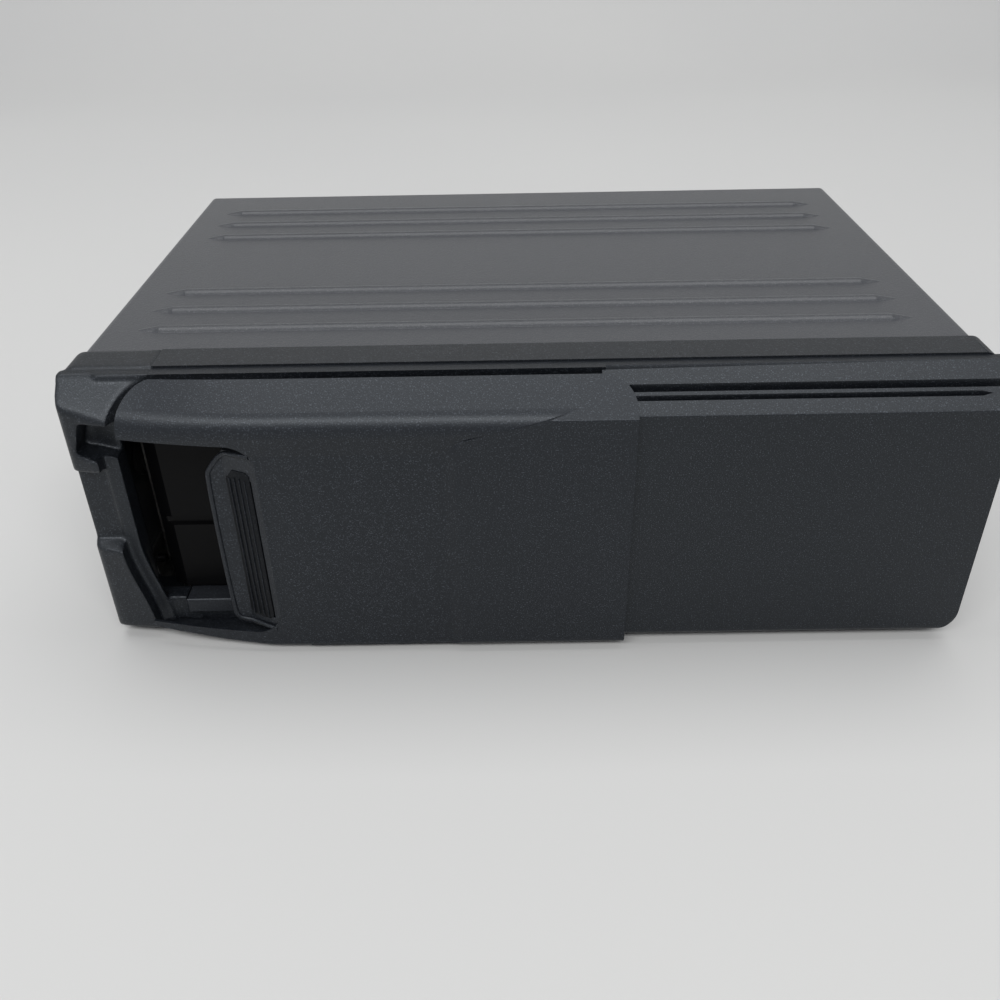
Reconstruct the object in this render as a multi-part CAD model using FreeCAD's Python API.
import FreeCAD, Part
import math
import os

# Ten-disc car changer with a sliding front door. Millimetres, +X right, +Y back, +Z up.
# The origin lies under the middle of the whole unit, on the plane that it stands on.
# The case is sized from what it holds: the disc trays, the drive unit and their clearances.

# ---- trays and magazine, round a 120 mm disc
disc_pocket = 60.6          # radius of the tray's pocket
pocket_depth = 1.4
pocket_side = 0.4           # least wall beside the pocket
pocket_end = 5.0            # and in front of and behind it
tray_count = 10
tray_pitch = 5.4
tray_thick = 3.2
tray_gap = 0.4
hub_window = 23.0           # radius of the hole under the disc's middle
read_window_half = 19.5
read_window_wall = 5.6
tray_corner_left = 6.0
tray_corner_right = 3.0
magazine_front = -74.0
magazine_low = 13.0
magazine_wall = 2.0
tray_margin = 2.5           # from the magazine's left face to the trays
tray_mouth = 2.0            # from the trays to the magazine's open right side
magazine_edge = 4.5         # chamfer of the front left edge
magazine_step_low = 36.0    # groove across the front of the magazine
magazine_step_high = 39.5
magazine_step_depth = 1.2
rib_wall = 1.4
rib_reach = 3.0
magazine_pop = 9.0          # how far the ejected magazine comes forward

# ---- floating mechanism frame
frame_sheet = 1.0
magazine_side = 8.0         # from the frame's left face to the magazine
bay_clearance = 5.2         # from the magazine to the frame's inner wall
bay_step = 20.0             # the bay starts this far behind the frame's front
bay_drop = 3.0              # from the magazine down to the bay's floor
frame_drop = 7.0            # from the magazine down to the frame's lower edge
frame_back_gap = 3.0
frame_head = 5.0            # frame above the magazine
frame_front_step = 4.0      # its front wall is lower by this
frame_window = 34.0         # openings in its rear wall
frame_windows = 2
frame_window_start = 23.5
frame_window_pitch = 50.0
frame_window_rim = 11.0
frame_window_corner = 5.0
floor_rim = 23.0            # rim of the bay's floor round its window
tab_gap = 1.0               # from the spring tabs to the case
runner_width = 7.0          # magazine runners
runner_lead = 4.0
runner_side = 7.0
guide_gap = 0.3

# ---- drive unit on the lift
drive_gap = 0.6
drive_width = 99.7
drive_side = 3.0            # from the drive unit to the frame's right face
drive_plate = 1.5
drive_plate_drop = 12.0     # from the top tray down to the plate
drive_front_gap = 0.4
drive_flange = 1.2
drive_rear_gap = 2.8
drive_front_drop = 0.6      # the front wall stays under the tray's path
ear_gap = 1.0
tray_stop = 0.5             # from the loaded tray to the frame's wall
spindle_motor_radius = 9.0
spindle_motor_height = 6.3
spindle_neck = 2.0
turntable_radius = 15.0
turntable_thick = 2.0
turntable_drop = 0.5        # from the tray's underside to the turntable's top
centring_radius = 7.4
centring_height = 0.6
shaft_radius = 1.0
puck_radius = 14.0
puck_thick = 3.0
puck_rise = 4.0             # rest height of the puck over the tray's underside
puck_neck = 2.2
puck_cap_radius = 4.0
puck_cap = 0.8
clamp_wall = 1.4
clamp_float = 0.5           # play of the puck in its arm
clamp_half = 9.0
clamp_hinge_radius = 1.3
clamp_pivot_radius = 0.7
clamp_root_half = 26.0
clamp_taper = 34.0
clamp_shoulder = 4.0        # pivots on both sides of the arm's root
lug_half = 2.2
lug_wall = 2.2
lug_place = 2.5
rod_radius = 1.5
rod_fit = 0.05
rod_half = 13.0
rod_block = 2.5
rod_height = 3.4            # from the pickup's underside to the rods' middle
pickup_half = 18.0
pickup_length = 13.0
pickup_height = 7.0
pickup_corner = 2.0
pickup_lift = 0.8           # from the drive plate to the pickup
lens_radius = 4.0
lens_inner_track = 25.0     # from the spindle to the lens at rest
lens_recess = 1.2
lens_play = 0.8
sled_travel = 33.0
sled_teeth = 16
sled_gear_thick = 2.4
sled_rack_rise = 2.2
sled_hub_radius = 2.4
sled_worm_radius = 1.8
sled_worm_length = 17.0
sled_worm_lead = 8.0        # thread in front of the gear's middle
sled_worm_neck = 5.0
sled_shaft_radius = 0.8
sled_motor_radius = 4.5
sled_motor_length = 22.0
sled_motor_edge = 0.8
chassis_window = 28.0       # pair of windows in front of the turntable
chassis_window_gap = 12.0
chassis_window_front = 12.0
chassis_step = 8.0

# ---- lift: pins, cam plates, gears
pin_place = 33.7            # first pin, from the drive unit's left edge
pin_spacing = 32.0
pin_rise = 6.0              # pins above the drive plate's underside
pin_radius = 1.6
pin_neck = 1.1
pin_fit = 0.15
cam_run = 30.0
cam_gap = 0.4
cam_sheet = 1.0
cam_margin = 5.0
cam_corner = 3.0
cam_edge = 3.4              # sheet below the slots
stud_rise = 4.8             # guide studs above the pins
stud_shift = 2.5            # and outwards of them
stud_radius = 1.5
stud_head = 1.2
stud_head_thick = 0.8
gear_module = 0.8
pinion_teeth = 12
wheel_teeth = 30
backlash = 0.25
rack_thick = 1.8
rack_spacer = 0.6
rack_spare = 6.0            # rack beyond its travel, at each end
rack_rise = 2.2             # pitch line above the cam plate
wheel_offset = 8.6          # wheel behind the cam plate
wheel_thick = 4.0
hub_radius = 2.56
worm_radius = 3.6
worm_length = 14.0
mesh_gap = 0.3
lift_motor_width = 20.0
lift_motor_depth = 15.0
lift_motor_height = 26.0
lift_motor_corner = 5.0
terminal = 1.6
terminal_place = 4.0
bracket_wall = 1.2
bracket_tab = 5.0
bracket_tab_width = 9.0
bracket_drop = 0.5
axle_spare = 1.5

# ---- steel case
sheet = 0.8                 # steel of cover, bottom and rear
sheet_gap = 0.2             # between nested sheets
suspension_gap = 6.2        # from the frame to the case
roof_space = 13.0           # from the frame to the top of the case
rear_space = 25.75          # from the frame to the rear, for motor and socket
cover_front = -61.7
cover_foot = 1.2            # lower edge of the cover's sides
cover_bend = 2.6            # outer bend radius
bead_rise = 1.2             # pressed stiffening beads in the cover
bead_width = 5.0
bead_taper = 7.0            # pointed end of a bead
bead_left_margin = 11.5
bead_right_margin = 12.5
bead_pitch = 15.0
bead_front_margin = 15.0
bead_back_margin = 22.0
beads_in_group = 3
bottom_flange = 12.0
rear_flange = 12.0
flange_gap = 4.0
foot_bead_rise = 1.0
foot_bead_margin = 36.5
foot_bead_rows = (-15.0, 15.0, 45.0)

# ---- front bezel
bezel_overhang = 2.5        # bezel beyond the case at each side
bezel_wall = 2.2
bezel_foot = 0.6            # lower edge of the rear frame of the bezel
lip_rise = 0.4
lip_front = -73.0
lip_corner = 4.0
groove_front = -75.8        # far side of the parting groove
groove_depth = 1.6
skirt_depth = 6.0           # part of the bezel that tucks into the case
skirt_corner = 1.5
panel_y = -90.35            # fixed face
panel_foot = 3.4
panel_corner = 7.5          # lower right corner
foot_radius = 1.8
crease_drop = 8.6           # crease below the case's top
crease_radius = 0.6
slope_angle = 30.0
end_run = 43.5              # the left end falls back from here, right of the magazine's left side
end_radius = 240.0

# ---- opening for the magazine and the post beside it
opening_margin = 4.5
opening_right_margin = 4.0
opening_drop = 0.6
opening_rise = 6.0
header_y = -77.2
sill_y = -79.0
jamb_y = -84.0
strip_width = 4.0           # set-back strip between post and opening
strip_y = -80.0
post_radius = 3.0           # rounded front left edge
post_slope_angle = 47.0
brow_radius = 4.0
shoulder_right = 23.0       # the shoulder over the opening, from its left edge
shoulder_gap = 3.7
shoulder_corner = 12.0
scoop_low = 36.0            # thumb scoop across the post
scoop_high = 60.5
scoop_cut = 3.0
scoop_run = 5.0
notch_low = 64.0            # dark notch over the scoop
notch_side = 3.0
notch_depth = 7.0

# ---- door track in the bezel
track_margin = 3.0          # from the opening to the track
panel_margin = 10.0         # from the opening to the fixed face
band_edge = -81.5           # front edge of the flat band over the track
slot_width = 2.2
rail_width = 1.0
second_slot_width = 1.5
second_slot_inset = 4.0
second_slot_margin = 9.0
second_slot_point = 3.0
track_depth = 6.0
track_front = -86.6
groove_y = -84.6            # guide groove under the bezel for the door's lower lip
guide_width = 1.8
guide_depth = 2.0

# ---- sliding door
door_wall = 2.0
door_gap = 0.4              # from the door's back to the fixed face
door_overlap = 1.8          # over the fixed face when closed
door_end_gap = 1.1          # from the opening's left edge to the door
door_lean = 3.6             # its left end is shorter by this at the top
door_stop = 0.5             # the open door ends this far inside the bezel's end
door_foot = 2.4
foot_rise = 5.0             # its lower edge rises by this towards the left end
door_top_y = -80.4
door_crease_z = 80.7
door_top_z = 88.4
door_lip_wall = 0.7
door_corner_right = 9.0
door_corner_left = 12.0
end_lead = 12.0             # the left end is drawn through stations from here
end_stations = 4
end_top_back = 0.8          # what changes towards the left end: the top edge goes back
end_top_rise = 0.6          # and up, the crease comes down and its rounding grows
end_crease_drop = 1.5
end_brow_drop = 2.5
end_brow_growth = 4.0
scoop_depth = 1.1           # the left part of the door's face lies back by this
scoop_ramp = 3.0            # width of the soft edge of that part
scoop_place = 37.0          # its right edge, left of the magazine's right side
scoop_radius = 6.0
scoop_fade = 26.0           # the border climbs to the crease over this length
scoop_fade_drop = 6.4
brow_front_z = 76.5
brow_foot_z = 70.5
door_brow_radius = 7.0
hook_inset = 7.8
hook_length = 6.0
hook_wall = 1.2
hook_foot = 1.1
hook_drop = 6.4

# ---- finger cut-out and grip in the door
cut_place = 37.5            # right edge of the cut-out, from the magazine's left side
cut_low = 7.4
cut_high = 73.5
cut_corner = 8.0
cut_rise_low = 4.0          # how far the edges of the cut-out open to the left
cut_rise_high = 3.5
grip_width = 15.5
grip_ramp = 10.0
grip_low = 8.4
grip_turn = 62.3            # top of the grip's straight rim
grip_high = 70.5
grip_shoulder = 9.4         # from the cut-out's edge to the top of the rim's slanted end
grip_wall = 1.4
grip_depth = 4.5
grip_corner = 4.5
groove_count = 4
groove_inset = 1.8
groove_pitch = 2.05
fin_wall = 0.45
groove_cut = 0.6
groove_low = 13.0
groove_high = 62.0

# ---- suspension and orientation dials
boot_rows = (-44.0, 50.0)
boot_z = 44.0
boot_radius = 7.0
boot_waist = 5.2
boot_tip = 6.4
boot_gap = 0.8
boot_floor = 1.2
suspension_stud_radius = 2.0
stud_play = 0.4
stud_flange = 1.4
stud_flange_thick = 0.7
spring_y = 30.0
spring_radius = 2.2
spring_wire = 0.7
spring_turns = 5
spring_seat = 0.6           # from the bottom's tab to the coil
spring_high = 31.0
spring_tab = 3.0
dial_y = 8.0
dial_z = 44.0
dial_radius = 11.7
dial_proud = 0.8
dial_edge = 0.3
dial_flange = 13.2
dial_flange_thick = 0.8
dial_hub = 5.0
dial_hub_length = 2.4
coin_slot = 1.8
coin_slot_length = 16.0
coin_slot_depth = 0.9
dial_mark = 0.8

# ---- bracket holes in the sides
bracket_hole_y = 20.0       # middle of the hole pattern
bracket_hole_z = 44.0
bracket_span_y = 90.0
bracket_span_z = 48.0
bracket_hole_radius = 2.5
nut_radius = 4.5
nut_thick = 3.0

# ---- eject button
button_inset = 5.5          # from the magazine's left side
button_width = 48.0
button_height = 5.4
button_front = -80.0
button_back = -68.0
button_wall = 1.6
button_post_radius = 2.2
button_gap = 0.3
button_travel = 3.0
lever_inset = 1.5
lever_y = -63.0
lever_z = 7.0
lever_wall = 1.4
lever_arm = 24.0
lever_half = 2.2
lever_reach = 9.0
lever_heel = 7.4
finger_radius = 1.5
finger_height = 12.0
peg_radius = 1.4
peg_flange = 1.2
peg_cap = 0.6
spring_inset = 6.0
spring_seat_z = 8.6
button_spring_radius = 1.4
button_spring_wire = 0.5
button_spring_length = 5.6
button_spring_turns = 4
seat_depth = 8.0
seat_half = 3.0
seat_floor = 1.0

# ---- detent leaf under the door's track
detent_gap = 1.2
detent_dip = 2.2
detent_wall = 0.5
detent_width = 4.4
detent_tail = 10.0

# ---- electronics and rear socket
board_side = 12.5           # from the case's side
board_inset = 3.0           # board ends this far left of the magazine's right side
board_front = -40.0
board_rear_gap = 3.75
board_z = 3.4
board_thick = 1.6
board_corner = 2.0
post_inset = 5.0
standoff_radius = 3.0
standoff_neck = 1.5
standoff_head = 2.6
standoff_head_thick = 1.0
package_rows = ((14.0, ((18, 18, 2.6), (22, 12, 2.8), (10, 16, 2.6))),
                (50.0, ((14, 24, 2.6), (26, 9, 3.0), (12, 12, 2.2))),
                (107.0, ((12, 10, 3.0), (12, 10, 3.0), (20, 10, 9.0))))   # (from the front edge, (width, depth, height))
package_start = 34.0
package_gap = 16.0
can_radius = 3.6
can_height = 12.0
can_count = 4
can_pitch = 9.5
can_inset = 20.0
socket_place = 24.0         # from the board's left edge
socket_radius = 8.0
socket_rise = 0.6
socket_cup = 6.2
socket_cup_depth = 4.2
socket_wall_gap = 0.3
socket_flange = 9.4
socket_flange_thick = 1.6
socket_body = 3.4
socket_foot_half = 7.0
socket_proud = 2.0          # rim beyond the rear panel
socket_pins = 8
socket_pin_radius = 0.6
socket_pin_length = 3.2
socket_pin_circle = 4.0
socket_pin_arc = 300.0
socket_pin_start = 90.0     # first contact, degrees round the socket
key_half = 1.2
key_depth = 1.3

# ---- fasteners
screw_radius = 1.5
screw_head_radius = 3.0
screw_head = 1.2
screw_length = 5.0
low_screw_z = 6.6
side_screw_front = 11.7     # from the cover's front and rear edges, and from its top
side_screw_back = 8.75
side_screw_high = 6.75
side_screw_drop = 13.0
rear_screw_margin = 18.5

# ---- what follows from these sizes
tray_length = 2 * (disc_pocket + pocket_side)
tray_depth = 2 * (disc_pocket + pocket_end)
magazine_width = tray_margin + tray_length + tray_mouth
magazine_depth = tray_depth + 2 * (magazine_wall + tray_gap)
magazine_back = magazine_front + magazine_depth
magazine_high = magazine_low + 2 * magazine_wall + tray_count * tray_pitch
frame_half = (magazine_side + magazine_width + bay_clearance + drive_gap + drive_width + drive_side) / 2
case_inner = frame_half + suspension_gap
case_half = case_inner + sheet
bezel_half = case_half + bezel_overhang
magazine_left = magazine_side - frame_half
magazine_right = magazine_left + magazine_width
bay_right = magazine_right + bay_clearance
drive_left = bay_right + drive_gap
drive_right = drive_left + drive_width
frame_front = magazine_front
bay_front = frame_front + bay_step
frame_back = magazine_back + frame_back_gap
cover_back = frame_back + rear_space
rear_reach = cover_back + socket_proud
bay_floor = magazine_low - bay_drop
frame_low = magazine_low - frame_drop
frame_high = magazine_high + frame_head
frame_front_high = frame_high - frame_front_step
case_top = frame_high + roof_space
cover_under = case_top - sheet
lip_top = case_top + lip_rise
tray_left = magazine_left + tray_margin
tray_low = magazine_low + magazine_wall + tray_gap
lift_travel = (tray_count - 1) * tray_pitch
tray_top_z = tray_low + lift_travel
disc_x = tray_left + tray_length / 2
disc_y = magazine_front + magazine_depth / 2
spindle_x = frame_half - frame_sheet - tray_stop - tray_length / 2
tray_travel = spindle_x - disc_x
drive_front_y = frame_front + frame_sheet + drive_front_gap
drive_back_y = frame_back - frame_sheet - drive_rear_gap
drive_plate_z = tray_top_z - drive_plate_drop
drive_top_z = drive_plate_z + drive_plate
drive_front_high = tray_top_z - drive_front_drop
drive_back_high = frame_high - ear_gap
turntable_top = tray_top_z - turntable_drop
puck_z = tray_top_z + puck_rise
lens_y = disc_y + lens_inner_track
pickup_front = lens_y - 2 * lens_radius
sled_gear_y = lens_y + 1.0
pin_x = drive_left + pin_place
pin_z = drive_plate_z + pin_rise
pin_places = (pin_x, pin_x + pin_spacing)
stud_z = pin_z + stud_rise
stud_places = (pin_x - stud_shift, pin_x + pin_spacing + stud_shift)
cam_left = pin_x - cam_run - cam_margin
cam_right = pin_x + pin_spacing + cam_margin
cam_low = pin_z - lift_travel - cam_edge
cam_high = stud_z + stud_radius + pin_radius + 0.1
front_cam_y = frame_front - cam_gap - cam_sheet
rear_cam_y = frame_back + cam_gap
pinion_x = pin_x + pin_spacing / 2
wheel_y = rear_cam_y + wheel_offset
rack_z = cam_high + rack_rise
pinion_z = rack_z + gear_module * pinion_teeth / 2
gear_tip = 0.85 * gear_module
wheel_reach = gear_module * wheel_teeth / 2 + gear_tip
worm_x = pinion_x + wheel_reach + mesh_gap + worm_radius
worm_y = wheel_y + wheel_thick / 2
lift_motor_top = pinion_z - wheel_reach - bracket_wall - 1.0
rod_z = drive_top_z + pickup_lift + rod_height
rod_places = (spindle_x - rod_half, spindle_x + rod_half)
hinge_z = drive_back_high - rod_block
hinge_y = drive_back_y - clamp_hinge_radius - cam_gap
sled_gear_z = drive_top_z + pickup_lift + sled_rack_rise
sled_pitch_x = spindle_x + pickup_half + sled_rack_rise
sled_gear_x = sled_pitch_x + gear_module * sled_teeth / 2
sled_worm_x = sled_gear_x + gear_module * sled_teeth / 2 + gear_tip + mesh_gap + sled_worm_radius
sled_worm_z = sled_gear_z + sled_gear_thick / 2
bead_left = bead_left_margin - case_half
bead_right = case_half - bead_right_margin
foot_bead_half = case_half - foot_bead_margin
opening_left = magazine_left - opening_margin
opening_right = magazine_right + opening_right_margin
opening_low = magazine_low - opening_drop
opening_high = magazine_high + opening_rise
track_left = opening_right + track_margin
panel_left = opening_right + panel_margin
end_start = magazine_left + end_run
inner_stop = frame_front - 3.5     # the bezel's inner walls end here, clear of the cam plate
slope = math.tan(math.radians(slope_angle))
post_slope = math.tan(math.radians(post_slope_angle))
crease_z = case_top - crease_drop
slope_top = crease_z + (groove_front - panel_y) * slope
second_slot_end = bezel_half - second_slot_margin
door_left = opening_left + door_end_gap
door_right = panel_left + door_overlap
door_travel = bezel_half - door_stop - door_right
door_y = panel_y - door_gap - door_wall
door_back_y = panel_y - door_gap
door_face_y = door_y + scoop_depth
door_inner_crease_z = crease_z + door_gap / math.cos(math.radians(slope_angle)) - door_gap * slope
hook_back = band_edge - (slot_width - hook_wall) / 2
hook_low = door_inner_crease_z + (hook_back - door_back_y) * slope - hook_drop
scoop_right = magazine_right - scoop_place
cut_right = magazine_left + cut_place
grip_rim = cut_right - grip_width
grip_fold = cut_right - grip_ramp
button_left = magazine_left + button_inset
button_right = button_left + button_width
button_high = opening_low - tray_gap
button_low = button_high - button_height
lever_x = magazine_left + lever_inset
spring_seat_x = button_right - spring_inset
spring_low = bottom_flange + sheet + spring_seat
board_left = board_side - case_half
board_right = magazine_right - board_inset
board_back = cover_back - board_rear_gap
board_top = board_z + board_thick
standoffs = [(x, y) for x in (board_left + post_inset, board_right - post_inset)
             for y in (board_front + post_inset, board_back - post_inset)]
socket_x = board_left + socket_place
socket_z = board_top + socket_radius + socket_rise
rear_screws = (rear_screw_margin - case_half, 0.0, case_half - rear_screw_margin)
side_screws = ((cover_front + side_screw_front, low_screw_z), (cover_back - side_screw_back, low_screw_z),
               (cover_back - side_screw_high, case_top - side_screw_drop))     # (y, z)
bracket_holes = [(bracket_hole_y + sy * bracket_span_y / 2, bracket_hole_z + sz * bracket_span_z / 2)
                 for sy in (-1, 1) for sz in (-1, 1)]

V = FreeCAD.Vector
NORMAL = {"xy": V(0, 0, 1), "xz": V(0, 1, 0), "yz": V(1, 0, 0)}
SIDES = (-1, 1)


def placed(plane, at):
    if plane == "xy":
        return lambda p: V(p.x, p.y, at)
    if plane == "xz":
        return lambda p: V(p.x, at, p.y)
    return lambda p: V(at, p.x, p.y)


def rounded_wire(points, plane, at):
    # Corners are (u, v) or (u, v, radius); a radius becomes a tangent arc.
    corners = []
    for i, point in enumerate(points):
        here = V(point[0], point[1], 0)
        radius = point[2] if len(point) > 2 else 0
        after = points[(i + 1) % len(points)]
        back = (V(points[i - 1][0], points[i - 1][1], 0) - here).normalize()
        ahead = (V(after[0], after[1], 0) - here).normalize()
        if radius == 0:
            corners.append([here])
            continue
        half = back.getAngle(ahead) / 2
        reach = radius / math.tan(half)
        middle = here + (back + ahead).normalize() * (radius / math.sin(half) - radius)
        corners.append([here + back * reach, middle, here + ahead * reach])
    put = placed(plane, at)
    edges = []
    for i, corner in enumerate(corners):
        if len(corner) == 3:
            edges.append(Part.Arc(*[put(p) for p in corner]).toShape())
        start = corner[-1]
        end = corners[(i + 1) % len(corners)][0]
        if (end - start).Length > 1e-6:
            edges.append(Part.makeLine(put(start), put(end)))
    return Part.Wire(edges)


def prism(points, plane, low, high):
    face = Part.Face(rounded_wire(points, plane, low))
    return face.extrude(NORMAL[plane] * (high - low))


def block(x0, x1, y0, y1, z0, z1):
    return Part.makeBox(x1 - x0, y1 - y0, z1 - z0, V(x0, y0, z0))


def rod(base, axis, radius, length):
    return Part.makeCylinder(radius, length, base, axis)


def across(side, inner, outer, y0, y1, z0, z1):
    # A block on the left (-1) or right (1), given by its distances from the middle.
    return block(min(side * inner, side * outer), max(side * inner, side * outer), y0, y1, z0, z1)


def rectangle(u0, u1, v0, v1, radius=0):
    return [(u0, v0, radius), (u1, v0, radius), (u1, v1, radius), (u0, v1, radius)]


def fused(shapes):
    return shapes[0].multiFuse(shapes[1:]).removeSplitter()


def slot(start, end, width, plane, low, high):
    # A round-ended slot between two points of a plane.
    run = V(end[0] - start[0], end[1] - start[1], 0).normalize()
    side = V(-run.y, run.x, 0) * (width / 2)
    corners = [V(start[0], start[1], 0) + side, V(start[0], start[1], 0) - side,
               V(end[0], end[1], 0) - side, V(end[0], end[1], 0) + side]
    put = placed(plane, low)
    axis = NORMAL[plane]
    body = prism([(c.x, c.y) for c in corners], plane, low, high)
    ends = [rod(put(V(p[0], p[1], 0)), axis, width / 2, high - low) for p in (start, end)]
    return body.multiFuse(ends)


def turned(profile, base, axis):
    # Stepped round part: profile is (distance along the axis, radius) from end to end.
    side = axis.cross(V(0, 0, 1))
    if side.Length < 0.5:
        side = V(1, 0, 0)
    points = [base + axis * profile[0][0]]
    points += [base + axis * along + side * radius for along, radius in profile]
    points += [base + axis * profile[-1][0], points[0]]
    return Part.Face(Part.makePolygon(points)).revolve(base, axis, 360)


def spring(base, axis, radius, wire, length, turns):
    # Square-section coil: a section drawn at the start of the helix and swept along it.
    helix = Part.makeHelix(length / turns, length, radius)
    half = wire / 2
    corners = [V(radius - half, 0, -half), V(radius + half, 0, -half),
               V(radius + half, 0, half), V(radius - half, 0, half)]
    section = Part.makePolygon(corners + corners[:1])
    coil = Part.Wire(helix).makePipeShell([section], True, True)
    if coil.Volume < 0:
        coil.reverse()
    coil.Placement = FreeCAD.Placement(base, FreeCAD.Rotation(V(0, 0, 1), axis))
    return coil


def gear(teeth, thick, centre, axis, first):
    # Straight-flanked spur gear; `first` is the direction, in degrees, of a tooth space.
    pitch_radius = gear_module * teeth / 2
    step = 2 * math.pi / teeth
    root = pitch_radius - 1.15 * gear_module
    tip = pitch_radius + 0.85 * gear_module
    root_half = step * 0.36
    tip_half = step * 0.13
    outline = []
    for i in range(teeth):
        middle = math.radians(first) + (i + 0.5) * step
        for radius, turn in ((root, -root_half), (tip, -tip_half), (tip, tip_half), (root, root_half)):
            outline.append((radius * math.cos(middle + turn), radius * math.sin(middle + turn)))
    body = prism(outline, "xy", 0, thick)
    body.Placement = FreeCAD.Placement(centre, FreeCAD.Rotation(V(0, 0, 1), axis))
    return body


def rack_outline(start, end, middle, pitch_line, back):
    # Teeth along u pointing to +v, one of them centred on `middle`.
    pitch = math.pi * gear_module
    tip = pitch_line + 0.75 * gear_module
    root = pitch_line - 1.25 * gear_module
    root_half = pitch * 0.36 - backlash / 2
    tip_half = pitch * 0.14 - backlash / 4
    outline = [(start, back)]
    number = math.ceil((start + root_half - middle) / pitch)
    while middle + number * pitch + root_half < end:
        u = middle + number * pitch
        outline += [(u - root_half, root), (u - tip_half, tip), (u + tip_half, tip), (u + root_half, root)]
        number += 1
    outline[0:1] = [(start, back), (start, root)]
    return outline + [(end, root), (end, back)]


# ---- steel case

def bead(y, top, rise, left, right, reach):
    # A long cylinder that breaks the sheet's surface, with a cone at each end.
    radius = ((bead_width / 2) ** 2 + rise ** 2) / (2 * rise)
    low = radius - rise
    centre = top - low
    span = right - left - 2 * bead_taper
    trim = radius - reach
    along = V(1, 0, 0)
    middle = rod(V(left + bead_taper, y, centre), along, trim, span)
    start = Part.makeCone(low - reach, trim, bead_taper, V(left, y, centre), along)
    end = Part.makeCone(trim, low - reach, bead_taper, V(right - bead_taper, y, centre), along)
    return middle.multiFuse([start, end])


def bead_rows():
    steps = [i * bead_pitch for i in range(beads_in_group)]
    return ([cover_front + bead_front_margin + step for step in steps]
            + [cover_back - bead_back_margin - step for step in steps])


def side_holes(shape, side):
    # Holes of one side wall: screws, bracket pattern and dial.
    inward = V(-side, 0, 0)
    start = side * (case_half + 1)
    holes = [rod(V(start, y, z), inward, screw_radius + sheet_gap, 4) for y, z in side_screws]
    holes += [rod(V(start, y, z), inward, bracket_hole_radius, 3) for y, z in bracket_holes]
    holes.append(rod(V(start, dial_y, dial_z), inward, dial_radius + guide_gap, 3))
    return shape.cut(holes[0].multiFuse(holes[1:]))


def top_cover():
    outer = [(-case_half, cover_foot), (-case_half, case_top, cover_bend),
             (case_half, case_top, cover_bend), (case_half, cover_foot)]
    bend = cover_bend - sheet
    inner = [(-case_inner, 0), (-case_inner, cover_under, bend), (case_inner, cover_under, bend), (case_inner, 0)]
    shell = prism(outer, "xz", cover_front, cover_back).cut(prism(inner, "xz", cover_front - 1, cover_back + 1))
    slab = block(-case_half, case_half, cover_front, cover_back, case_top - sheet, case_top + 2 * bead_rise)
    for y in bead_rows():
        shell = shell.fuse(bead(y, case_top, bead_rise, bead_left, bead_right, 0).common(slab))
        shell = shell.cut(bead(y, case_top, bead_rise, bead_left, bead_right, sheet))
    for side in SIDES:
        shell = side_holes(shell, side)
    return shell


def bottom_plate():
    half = case_inner - sheet_gap
    front = cover_front - skirt_depth / 2
    back = cover_back - sheet - sheet_gap
    plate = block(-half, half, front + skirt_depth, back, 0, sheet)
    sides = [across(s, half - sheet, half, front + 2 * skirt_depth, back, 0, bottom_flange) for s in SIDES]
    rear = block(-half, half, back - sheet, back, 0, bottom_flange)
    tabs = [across(s, half - sheet - 2 * spring_radius, half, spring_y - spring_radius, spring_y + spring_radius,
                   bottom_flange, bottom_flange + sheet) for s in SIDES]
    plate = fused([plate, rear] + sides + tabs)
    for y in foot_bead_rows:
        slab = block(-case_half, case_half, y - bead_width, y + bead_width, 0, sheet + 2 * foot_bead_rise)
        plate = plate.fuse(bead(y, sheet, foot_bead_rise, -foot_bead_half, foot_bead_half, 0).common(slab))
        plate = plate.cut(bead(y, sheet, foot_bead_rise, -foot_bead_half, foot_bead_half, sheet))
    holes = []
    for s in SIDES:
        holes += [rod(V(s * (half + 1), y, z), V(-s, 0, 0), screw_radius, 3)
                  for y, z in side_screws if z < bottom_flange]
    holes += [rod(V(x, back + 1, low_screw_z), V(0, -1, 0), screw_radius, 3) for x in rear_screws]
    reach = socket_flange + sheet_gap
    holes.append(block(socket_x - reach, socket_x + reach, back - 2, back + 1, socket_z - reach, bottom_flange + 1))
    return plate.cut(holes[0].multiFuse(holes[1:]))


def rear_panel():
    half = case_inner - sheet_gap
    low = sheet + sheet_gap
    high = cover_under - sheet_gap
    panel = prism([(-half, low), (half, low), (half, high, cover_bend), (-half, high, cover_bend)], "xz",
                  cover_back - sheet, cover_back)
    flange_low = bottom_flange + flange_gap
    flanges = [across(s, half - sheet, half, cover_back - rear_flange, cover_back, flange_low, high - flange_gap)
               for s in SIDES]
    panel = fused([panel] + flanges)
    holes = [rod(V(socket_x, cover_back + 1, socket_z), V(0, -1, 0), socket_radius + socket_wall_gap, 3)]
    holes += [rod(V(x, cover_back + 1, low_screw_z), V(0, -1, 0), screw_radius + sheet_gap, 3) for x in rear_screws]
    for s in SIDES:
        holes += [rod(V(s * (half + 1), y, z), V(-s, 0, 0), screw_radius, 3)
                  for y, z in side_screws if z > flange_low]
    return panel.cut(holes[0].multiFuse(holes[1:]))


def screw(base, outward):
    # Domed head outside the sheet, shank inside it.
    head = turned([(0, screw_head_radius), (screw_head * 0.5, screw_head_radius),
                   (screw_head, screw_head_radius * 0.6)], base, outward)
    return head.fuse(rod(base, outward * -1, screw_radius, screw_length))


def case_screws():
    screws = []
    for s in SIDES:
        screws += [screw(V(s * case_half, y, z), V(s, 0, 0)) for y, z in side_screws]
    screws += [screw(V(x, cover_back, low_screw_z), V(0, 1, 0)) for x in rear_screws]
    return Part.makeCompound(screws)


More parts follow.
